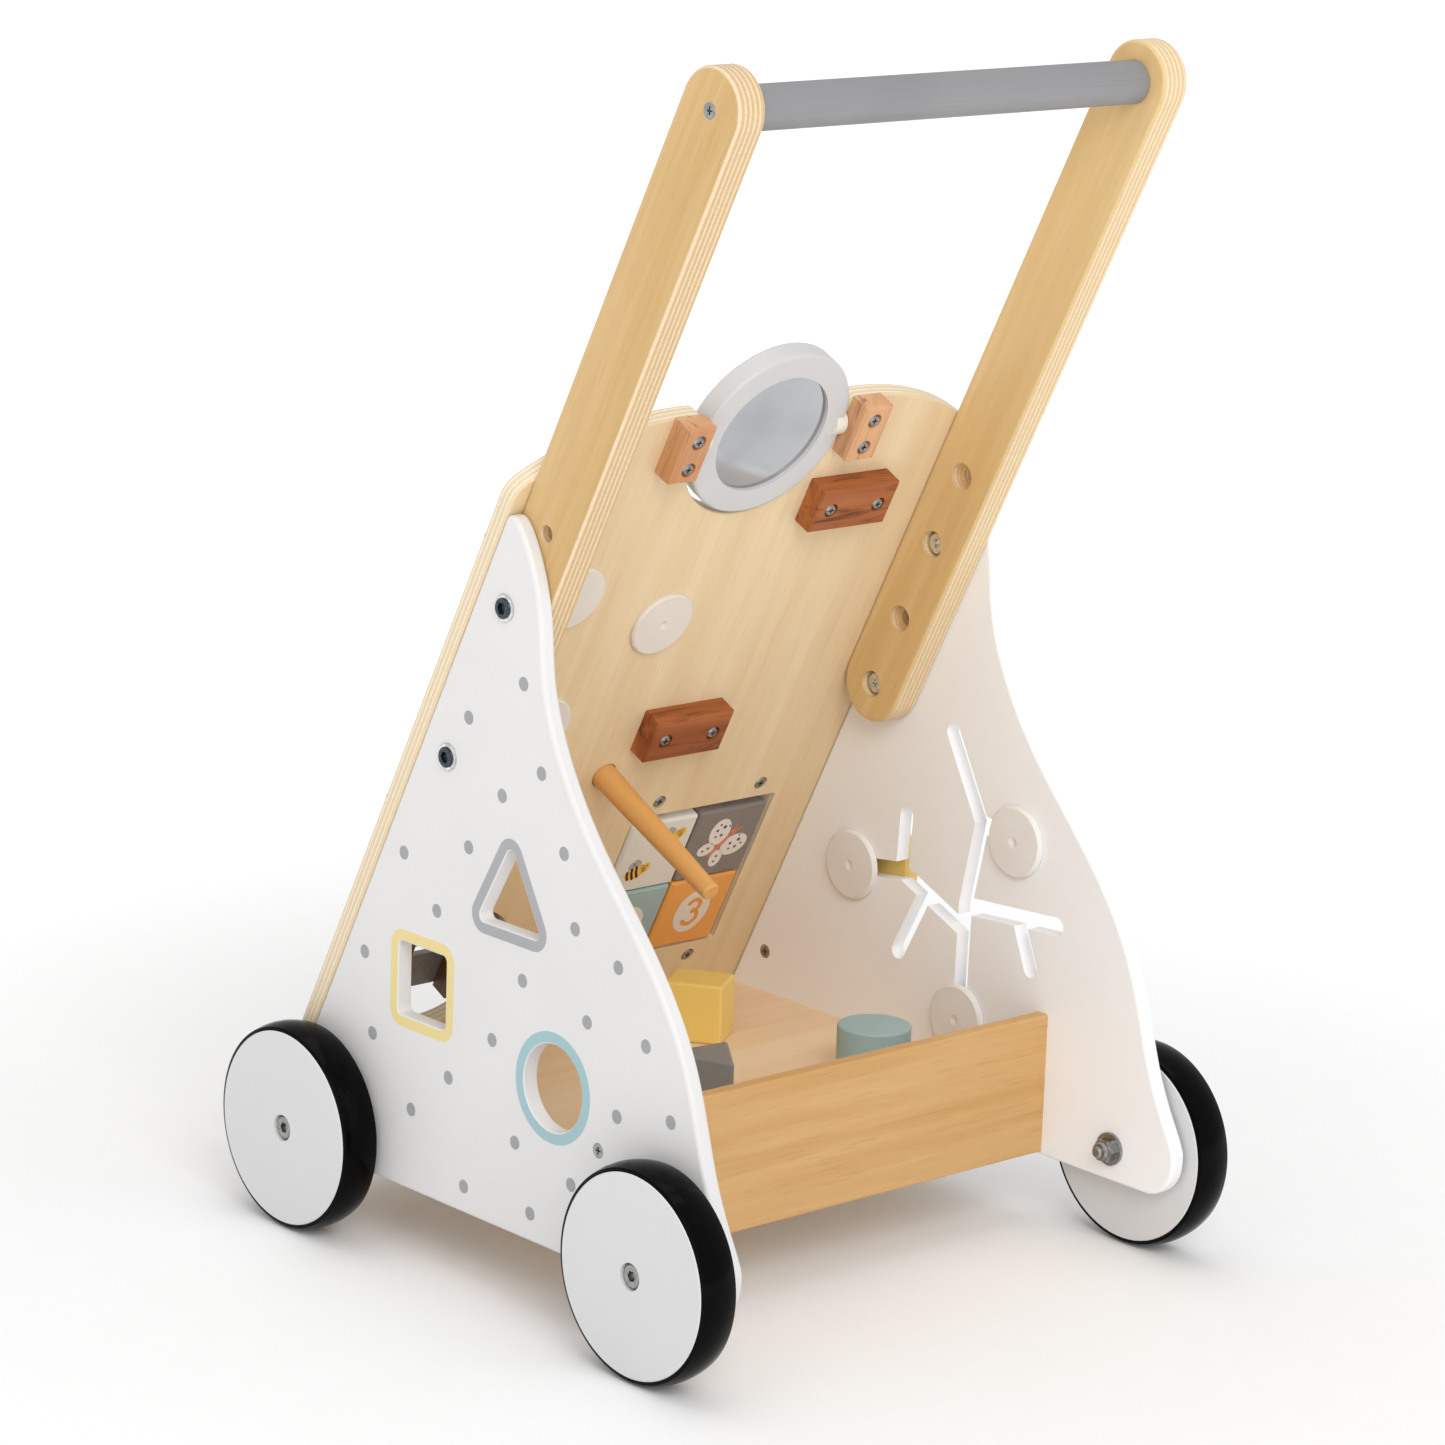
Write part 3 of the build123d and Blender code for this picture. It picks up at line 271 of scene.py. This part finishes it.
M = {
    "board": wood("board_ply", UP_SLOPE, OUT_BACK, PALE, HONEY, 0.9, BOARD_PLIES,
                  BOARD_POINT),
    # Both handle arms are the same plywood, in two copies of its colour: the left arm's is toned a
    # little darker (painted shade) and the right arm's paler (painted light), standing in for how
    # the light falls on each arm's faces.
    "arm": wood("arm_ply", UP_SLOPE, ACROSS, srgb(219, 187, 136), srgb(198, 160, 103), 1.3,
                ARM_PLIES, ARM_FACE),
    "arm_lightened_for_shade": wood("pale_arm_ply", UP_SLOPE, ACROSS, srgb(232, 202, 151), srgb(213, 177, 120),
                     1.3, ARM_PLIES, ARM_FACE),
    "rail": wood("rail_wood", ACROSS, BACKWARD, srgb(215, 174, 119), srgb(197, 149, 90), 1.2),
    "floor": wood("floor_wood", ACROSS, UPRIGHT, srgb(250, 226, 194), srgb(240, 206, 164), 1.1),
    "redwood": wood("redwood", ACROSS, UPRIGHT, srgb(184, 112, 62), srgb(140, 74, 38), 1.4,
                    streaks=srgb(88, 42, 22)),
    "redwood_tall": wood("redwood_tall", UP_SLOPE, OUT_BACK, srgb(220, 172, 128),
                         srgb(192, 134, 92), 1.4, streaks=srgb(146, 92, 60)),
    # The xylophone rails are the same redwood as the blocks, but coloured much darker: painted shade
    # for their place under the board.
    "rail_redwood": wood("rail_redwood", UP_SLOPE, OUT_BACK, srgb(128, 88, 62),
                         srgb(96, 62, 44), 1.2, streaks=srgb(66, 42, 30)),
    "dowel": wood("dowel_wood", ACROSS, UPRIGHT, PALE, HONEY),
    # Both side panels have the same white paint, in two copies: the left panel's is toned darker
    # (painted shade on its lit outer face) and the right panel's is brighter (painted light on its
    # shaded inner face).
    "white": paint("white_paint", srgb(225, 224, 223), 0.42, 0.10, 0.03),
    "white_lightened_for_shade": paint("warm_white_paint", srgb(250, 250, 251), 0.42, 0.10, 0.02),
    "wheel": paint("wheel_white", srgb(217, 217, 217), 0.34, 0.06, 0.025),
    "ring": paint("ring_white", srgb(204, 203, 203), 0.32, 0.05, 0.03),
    "bar": paint("bar_grey", srgb(141, 141, 143), 0.55, 0.22, 0.08, ACROSS),
    "mallet": paint("mallet_gold", srgb(226, 168, 98), 0.40, 0.18, 0.08, OUT_BACK),
    "tyre": rubber("tyre_rubber"),
    "steel": steel("zinc_steel", srgb(168, 168, 166)),
    "bright_steel": steel("bright_steel", srgb(222, 223, 220), 0.3),
    "dark_steel": steel("dark_steel", srgb(74, 82, 90), 0.3),
    "wire": paint("wire_coat", srgb(232, 232, 230), 0.22, 0.03, 0.03),
    "mirror": mirror_glass("mirror_acrylic"),
    "cap": plastic("white_plastic", srgb(226, 218, 207), 0.36),
    "slider": plastic("slider_plastic", srgb(240, 237, 234), 0.36),
    "collar": plastic("cream_plastic", srgb(233, 229, 218), 0.3),
    "grey": paint("grey_paint", srgb(134, 134, 133), 0.42, 0.16, 0.06),
    "block_white": paint("block_white", srgb(228, 224, 216), 0.40, 0.12, 0.05, UP_SLOPE),
    "block_taupe": paint("block_taupe", srgb(134, 126, 120), 0.42, 0.12, 0.06, UP_SLOPE),
    "teal": paint("teal_paint", srgb(158, 186, 188), 0.42, 0.14, 0.06),
    "orange": paint("orange_paint", srgb(240, 168, 84), 0.42, 0.12, 0.05),
    "yellow": paint("yellow_paint", srgb(250, 215, 120), 0.42, 0.14, 0.06),
    "bars": paint("bar_grey_metal", srgb(120, 120, 122), 0.3, 0.05, 0.08),
}

FINISH = {
    # The two arms and the two side panels take separate copies of one colour each, toned as painted
    # light and painted shade.
    "board": ["activity_board"], "arm": ["left_handle_arm"], "arm_lightened_for_shade": ["right_handle_arm"],
    "rail": ["rear_rail"], "floor": ["bin_floor"], "dowel": ["floor_dowels"],
    "white": ["left_side_panel"], "white_lightened_for_shade": ["right_side_panel"], "ring": ["mirror_ring"],
    "redwood": ["wire_block_upper", "wire_block_lower"],
    "redwood_tall": ["mirror_block_left", "mirror_block_right"],
    "rail_redwood": ["xylophone_rails"],
    "bar": ["handle_bar"], "mallet": ["mallet"], "mirror": ["mirror_glass"],
    "bright_steel": ["arm_bolts", "arm_washers"],
    "steel": ["axle_bolts", "axle_washers", "axle_nuts",
              "wood_screws", "back_screws", "block_rods", "xylophone_pins"],
    "dark_steel": ["arm_sleeve_nuts"], "wire": ["bead_wire"], "collar": ["mirror_pins"],
    "cap": ["gear_axles", "gear_front_caps"],
    "slider": ["slider_disc_west", "slider_disc_north", "slider_disc_south"],
    "grey": ["block_bezel", "gear_middle", "slider_knob_north", "triangle_block"],
    "block_white": ["flip_block_top_left"], "block_taupe": ["flip_block_top_right"],
    "teal": ["flip_block_bottom_left", "round_block", "bead_middle", "gear_upper",
             "slider_knob_south"],
    "orange": ["flip_block_bottom_right", "bead_lower"],
    "yellow": ["square_block", "gear_lower", "slider_knob_west", "bead_upper"],
    "bars": ["xylophone_bars"],
    "wheel": [n for n in NODES if n.endswith("wheel_disc")],
    "tyre": [n for n in NODES if n.endswith("tyre")],
}
for finish, names in FINISH.items():
    for name in names:
        mesh = NODES[name].data
        mesh.materials.clear()
        mesh.materials.append(M[finish])


# ---------------------------------------------------------------- printed shapes
PAINT_TOP, PAINT_ROOT = 0.08 * MM, -0.05 * MM


class Face:
    """A flat place to print on: its middle, its right, its up and the way it faces, in metres."""

    def __init__(self, middle, right, up):
        self.middle, self.right, self.up = Vector(middle), Vector(right), Vector(up)
        self.out = self.right.cross(self.up)

    def point(self, x, y, height):
        return self.middle + (self.right * x + self.up * y) * MM + self.out * height


def disc(x, y, rx, ry=None, tilt=0.0, steps=40):
    """Corner points of an ellipse, in millimetres."""
    ry = ry or rx
    points = []
    for k in range(steps):
        a, b = rx * cos(2 * pi * k / steps), ry * sin(2 * pi * k / steps)
        points.append((x + a * cos(tilt) - b * sin(tilt), y + a * sin(tilt) + b * cos(tilt)))
    return points


def rounded(corners, radius, steps=8):
    """Corner points of a convex polygon, given anticlockwise, with its corners rounded."""
    points = []
    count = len(corners)
    for k in range(count):
        here = Vector(corners[k])
        before = (Vector(corners[k - 1]) - here).normalized()
        after = (Vector(corners[(k + 1) % count]) - here).normalized()
        half = before.angle(after) / 2
        centre = here + (before + after).normalized() * radius / sin(half)
        touch = here + before * radius / tan(half) - centre
        first = atan2(touch.y, touch.x)
        sweep = pi - 2 * half
        for step in range(steps + 1):
            a = first + sweep * step / steps
            points.append((centre.x + radius * cos(a), centre.y + radius * sin(a)))
    return points


def stroke(path, width):
    """Corner points of a line of even width along a path."""
    left, right = [], []
    for k, (x, y) in enumerate(path):
        x0, y0 = path[max(k - 1, 0)]
        x1, y1 = path[min(k + 1, len(path) - 1)]
        reach = hypot(x1 - x0, y1 - y0)
        nx, ny = -(y1 - y0) / reach * width / 2, (x1 - x0) / reach * width / 2
        left.append((x + nx, y + ny))
        right.append((x - nx, y - ny))
    return left + right[::-1]


def print_on(name, face, body, slot, material, shapes=(), rings=(), lift=0.0):
    """A thin coat of paint on a face: filled shapes, and rings given as (outer, inner) points."""
    build = bmesh.new()
    top, root = PAINT_TOP + lift * MM, PAINT_ROOT

    def corners(points, height):
        return [build.verts.new(face.point(x, y, height)) for x, y in points]

    def wall(low, high):
        for k in range(len(low)):
            build.faces.new((low[k - 1], low[k], high[k], high[k - 1]))

    for points in shapes:
        low, high = corners(points, root), corners(points, top)
        build.faces.new(high)
        build.faces.new(low[::-1])
        wall(low, high)
    for outer, inner in rings:
        outer_low, outer_high = corners(outer, root), corners(outer, top)
        inner_low, inner_high = corners(inner, root), corners(inner, top)
        wall(outer_low, outer_high)
        wall(inner_low[::-1], inner_high[::-1])
        for k in range(len(outer)):
            build.faces.new((outer_high[k - 1], outer_high[k], inner_high[k], inner_high[k - 1]))
            build.faces.new((inner_low[k - 1], inner_low[k], outer_low[k], outer_low[k - 1]))
    bmesh.ops.recalc_face_normals(build, faces=build.faces)
    mesh = bpy.data.meshes.new(name)
    build.to_mesh(mesh)
    build.free()
    mesh.materials.append(material)
    piece = bpy.data.objects.new(name, mesh)
    bpy.context.scene.collection.objects.link(piece)
    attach(piece, body)


INK = {
    "dots": paint("ink_dots", srgb(160, 161, 163), 0.5, 0.05, 0.05),
    "sky": paint("ink_sky", srgb(160, 193, 200), 0.46, 0.05, 0.04),
    "sand": paint("ink_sand", srgb(232, 212, 146), 0.46, 0.05, 0.04),
    "stone": paint("ink_stone", srgb(168, 169, 172), 0.46, 0.05, 0.04),
    "milk": paint("ink_milk", srgb(232, 224, 216), 0.5, 0.05, 0.04),
    "black": paint("ink_black", srgb(40, 36, 34), 0.5, 0.05, 0.1),
    "amber": paint("ink_amber", srgb(238, 190, 84), 0.5, 0.05, 0.05),
    "rust": paint("ink_rust", srgb(222, 128, 92), 0.5, 0.05, 0.05),
    "orange": paint("ink_orange", srgb(238, 158, 58), 0.5, 0.05, 0.05),
    "slate": paint("ink_slate", srgb(84, 84, 96), 0.5, 0.05, 0.05),
}

# The left panel's outer face: right is +Y and up is +Z, so shapes are in (y, z).
left_panel = Face((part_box("left_side_panel")[1][0], 0, 0), BACKWARD, UPRIGHT)
DOTS = ((17, 291), (-21, 268), (31, 253), (4, 237), (-66, 195), (-19, 208), (48, 220), (-41, 173),
        (57, 187.5), (-94, 141), (21.5, 155), (87, 177), (-87, 103), (1, 122), (67, 147),
        (107, 146), (-30, 96), (-57, 73.5), (89, 109), (19, 78), (125, 116), (-17, 47), (59, 69),
        (31, 47.5))
DOT_R = 3.25
print_on("panel_dots", left_panel, "frame", "grey_block", INK["dots"],
         [disc(y, z, DOT_R) for y, z in DOTS])

# The three holes, and how far from a hole its painted outline starts and ends.
SQUARE_AT, SQUARE_W = (-50.9, 135.1), 35.4
TRIANGLE_AT, TRIANGLE_SIDE = (11.0, 176.0), 46.2
ROUND_AT, ROUND_R = (44.5, 110.5), 20.4
HOLE_CORNER_R = 3
EDGE, BAND = 0.6, 5.6


def square_line(grow):
    half = SQUARE_W / 2 + grow
    y, z = SQUARE_AT
    return rounded([(y - half, z - half), (y + half, z - half), (y + half, z + half),
                    (y - half, z + half)], HOLE_CORNER_R + grow)


def triangle_line(grow):
    """TRIANGLE_AT is the middle of the triangle's lower side."""
    y, z = TRIANGLE_AT
    centre = z + TRIANGLE_SIDE / (2 * sqrt(3))
    reach = TRIANGLE_SIDE / sqrt(3) + 2 * grow
    return rounded([(y + reach * cos(radians(a)), centre + reach * sin(radians(a)))
                    for a in (210, 330, 90)], HOLE_CORNER_R + grow)


print_on("square_outline", left_panel, "frame", "golden_paint", INK["sand"],
         rings=[(square_line(BAND), square_line(EDGE))])
print_on("triangle_outline", left_panel, "frame", "grey_block", INK["stone"],
         rings=[(triangle_line(BAND), triangle_line(EDGE))])
print_on("round_outline", left_panel, "frame", "teal_paint", INK["sky"],
         rings=[(disc(*ROUND_AT, ROUND_R + BAND, steps=72),
                 disc(*ROUND_AT, ROUND_R + EDGE, steps=72))])


# ---------------------------------------------------------------- the flip blocks' pictures
# Each layer of a picture is lifted a little above the one below it.
BLOCK_THICKNESS = 14 * MM


def block_face(block, back):
    """The printed face of a flip block, towards the child or to the front."""
    low, high = (Vector(c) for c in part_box(block))
    middle = (low + high) / 2
    depth = (middle - BOARD_POINT).dot(OUT_BACK)
    on_back = middle - OUT_BACK * depth
    if back:
        return Face(on_back, -ACROSS, UP_SLOPE)
    return Face(on_back + OUT_FRONT * BLOCK_THICKNESS, ACROSS, UP_SLOPE)


def butterfly(name, face, body):
    """A plain butterfly: four spotted wings and a body, leaning to one side."""
    lean = radians(-38)

    def at(x, y):
        return (x * cos(lean) - y * sin(lean) + 0.5, x * sin(lean) + y * cos(lean) - 1)

    wings = []
    for side in (-1, 1):
        wings.append(disc(*at(side * 8.2, 4.0), 6.6, 8.4, lean - side * 0.7))
        wings.append(disc(*at(side * 5.8, -7.4), 4.0, 5.4, lean + side * 0.7))
    print_on(f"{name}_wings", face, body, "white_block", INK["milk"], wings)
    spots = []
    for side in (-1, 1):
        for x, y, r in ((5.6, 3.2, 0.9), (8.4, 7.6, 1.1), (10.6, 3.6, 0.9), (8.0, 0.6, 0.7),
                        (12.0, 7.0, 0.7), (6.0, 9.6, 0.6), (5.2, -6.2, 0.8), (6.8, -9.2, 0.7)):
            spots.append(disc(*at(side * x, y), r, steps=18))
    print_on(f"{name}_spots", face, body, "grey_block", INK["slate"], spots, lift=0.05)
    parts = [disc(*at(0, -1), 1.3, 8.6, lean), disc(*at(0, 8.6), 1.9)]
    for side in (-1, 1):
        parts.append(stroke([at(side * 0.6, 10), at(side * 1.6, 12.4), at(side * 3.0, 13.6)], 0.7))
    print_on(f"{name}_body", face, body, "orange_paint", INK["rust"], parts, lift=0.05)


def bee(name, face, body, x, y, lean):
    """A plain bee: an amber body with dark stripes and two pale wings."""
    def at(dx, dy):
        return (x + dx * cos(lean) - dy * sin(lean), y + dx * sin(lean) + dy * cos(lean))

    print_on(f"{name}_wings", face, body, "grey_block", INK["stone"],
             [disc(*at(1.5, 5.4), 2.2, 3.4, lean + 0.3), disc(*at(-2.0, 5.2), 2.0, 3.0, lean - 0.3)])
    print_on(f"{name}_body", face, body, "golden_paint", INK["amber"],
             [disc(*at(0, 0), 6.6, 4.4, lean), disc(*at(6.2, 0.2), 3.0)], lift=0.04)
    stripes = []
    for dx in (-4.6, -1.8, 1.0):
        reach = 4.3 * sqrt(max(0.05, 1 - (dx / 6.6) ** 2))
        stripes.append(stroke([at(dx, -reach), at(dx - 0.5, 0), at(dx, reach)], 1.5))
    stripes.append(disc(*at(7.2, 1.0), 0.5, steps=16))
    print_on(f"{name}_stripes", face, body, "dark_steel", INK["black"], stripes, lift=0.08)


def arc(x, y, r, start, end, steps=14):
    """Points along an arc, from one angle to another in degrees."""
    return [(x + r * cos(radians(start + (end - start) * k / steps)),
             y + r * sin(radians(start + (end - start) * k / steps))) for k in range(steps + 1)]


def numeral(name, face, body, slot, ink, digit):
    """A round-ended 1, 2 or 3 on a pale ellipse."""
    print_on(f"{name}_oval", face, body, "white_block", INK["milk"], [disc(0, 0, 11.0, 13.6)])
    if digit == 3:
        lines = [arc(0, 3.6, 3.9, 150, -85), arc(0, -3.9, 4.5, 85, -150)]
    elif digit == 1:
        lines = [[(-3.4, 5.0), (-1.5, 6.2), (0.6, 8.2)], [(0.6, 8.2), (0.6, 0), (0.6, -8.2)]]
    else:
        lines = [arc(0, 3.6, 4.2, 165, -40) + [(-4.4, -8.0)], [(-4.4, -8.0), (0, -8.0), (4.8, -8.0)]]
    shapes = [stroke(line, 2.6) for line in lines]
    shapes += [disc(*line[end], 1.3, steps=20) for line in lines for end in (0, -1)]
    for k, shape in enumerate(shapes):
        print_on(f"{name}_figure_{k}", face, body, slot, ink, [shape], lift=0.04 + 0.004 * k)


def leaves(name, face, body, slot, ink):
    """A sprig: a stem and pairs of leaves."""
    shapes = [stroke([(0, -13), (0.8, -4), (0, 5), (0, 12)], 1.1)]
    for k, y in enumerate((-7.5, -1.5, 4.5)):
        size = 5.4 - 0.6 * k
        for side in (-1, 1):
            shapes.append(disc(side * size, y + 3, 1.9, size, -side * 0.95))
    shapes.append(disc(0, 13, 1.8, 3.6))
    print_on(name, face, body, slot, ink, shapes)


def decorate(corner, back, draw, name, *settings):
    """Draw a picture on the back or the front of one of the four blocks."""
    block = f"flip_block_{corner}"
    draw(name, block_face(block, back), block, *settings)


decorate("top_right", True, butterfly, "butterfly")
decorate("top_left", True, bee, "bee_low", -7.5, -9.5, 0.35)
decorate("top_left", True, bee, "bee_high", 8.5, 9.0, 0.6)
decorate("bottom_left", True, print_on, "pale_spot", "white_block", INK["milk"],
         [disc(0, 0, 11.5)])
decorate("bottom_left", False, leaves, "pale_sprig", "white_block", INK["milk"])
decorate("bottom_right", True, numeral, "three", "orange_paint", INK["orange"], 3)
decorate("top_right", False, numeral, "one", "taupe_block", INK["slate"], 1)
decorate("bottom_right", False, numeral, "two", "orange_paint", INK["orange"], 2)
decorate("top_left", False, leaves, "slate_sprig", "grey_block", INK["slate"])

# ---------------------------------------------------------------- camera, floor and light
LENS, SENSOR = 124.35, 36.0
EYE = Vector((1517.6, 1676.9, 797.5)) * MM
RIGHT = Vector((-0.74838, 0.66239, 0.03423)).normalized()
FORWARD = Vector((-0.65021, -0.72247, -0.23508)).normalized()
UP = RIGHT.cross(FORWARD).normalized()

camera_data = bpy.data.cameras.new("camera")
camera_data.lens = LENS
camera_data.sensor_width = SENSOR
camera_data.clip_start, camera_data.clip_end = 0.05, 100
camera = bpy.data.objects.new("camera", camera_data)
camera.matrix_world = Matrix((
    (RIGHT.x, UP.x, -FORWARD.x, EYE.x), (RIGHT.y, UP.y, -FORWARD.y, EYE.y),
    (RIGHT.z, UP.z, -FORWARD.z, EYE.z), (0, 0, 0, 1)))
bpy.context.scene.collection.objects.link(camera)
bpy.context.scene.camera = camera

# The paper glows a little from GLOW_START to GLOW_END metres away, so that it turns white
# around the soft shadows.
SPREAD = 45.0
GLOW_START, GLOW_END, GLOW_NEAR, GLOW_FAR = 0.25, 1.3, 0.04, 0.44
SKY_STRENGTH = 0.70

floor_mesh = bpy.data.meshes.new("studio_floor")
floor_mesh.from_pydata([(-SPREAD, -SPREAD, 0), (SPREAD, -SPREAD, 0), (SPREAD, SPREAD, 0),
                        (-SPREAD, SPREAD, 0)], [], [(0, 1, 2, 3)])
studio_floor = bpy.data.objects.new("studio_floor", floor_mesh)
bpy.context.scene.collection.objects.link(studio_floor)
paper = Graph("floor_paper", Roughness=0.9, Specular_IOR_Level=0.1)
fibre = paper.noise(paper.place, 40.0, 2.0, 0.5)
paper.colour(paper.mix(fibre, (0.87, 0.87, 0.87), (0.89, 0.89, 0.89)))
away = paper.new("ShaderNodeVectorMath", (paper.place,), operation="LENGTH").outputs["Value"]
paper.shader.inputs["Emission Color"].default_value = (1, 1, 1, 1)
paper.feed(paper.shader.inputs["Emission Strength"],
           paper.stretch(away, GLOW_START, GLOW_END, GLOW_NEAR, GLOW_FAR))
floor_mesh.materials.append(paper.material)

world = bpy.data.worlds.new("studio")
world.use_nodes = True
sky = world.node_tree.nodes["Background"]
sky.inputs["Color"].default_value = (1, 1, 1, 1)
sky.inputs["Strength"].default_value = SKY_STRENGTH
bpy.context.scene.world = world
bpy.context.scene.view_settings.view_transform = "Standard"


def softbox(name, place, aim, size, watts):
    """A rectangular lamp that faces a point."""
    lamp = bpy.data.lights.new(name, "AREA")
    lamp.shape = "RECTANGLE"
    lamp.size, lamp.size_y = size
    lamp.energy = watts
    holder = bpy.data.objects.new(name, lamp)
    holder.location = place
    holder.rotation_euler = (Vector(aim) - Vector(place)).to_track_quat("-Z", "Y").to_euler()
    bpy.context.scene.collection.objects.link(holder)


softbox("key", (2.6, 0.4, 2.6), (0, 0, 0.25), (1.6, 1.6), 5)
softbox("fill", (1.3, 2.4, 2.0), (0, 0, 0.15), (1.6, 1.4), 40)
softbox("top", (0, -0.4, 3.0), (0, 0, 0.2), (2.2, 2.2), 14)
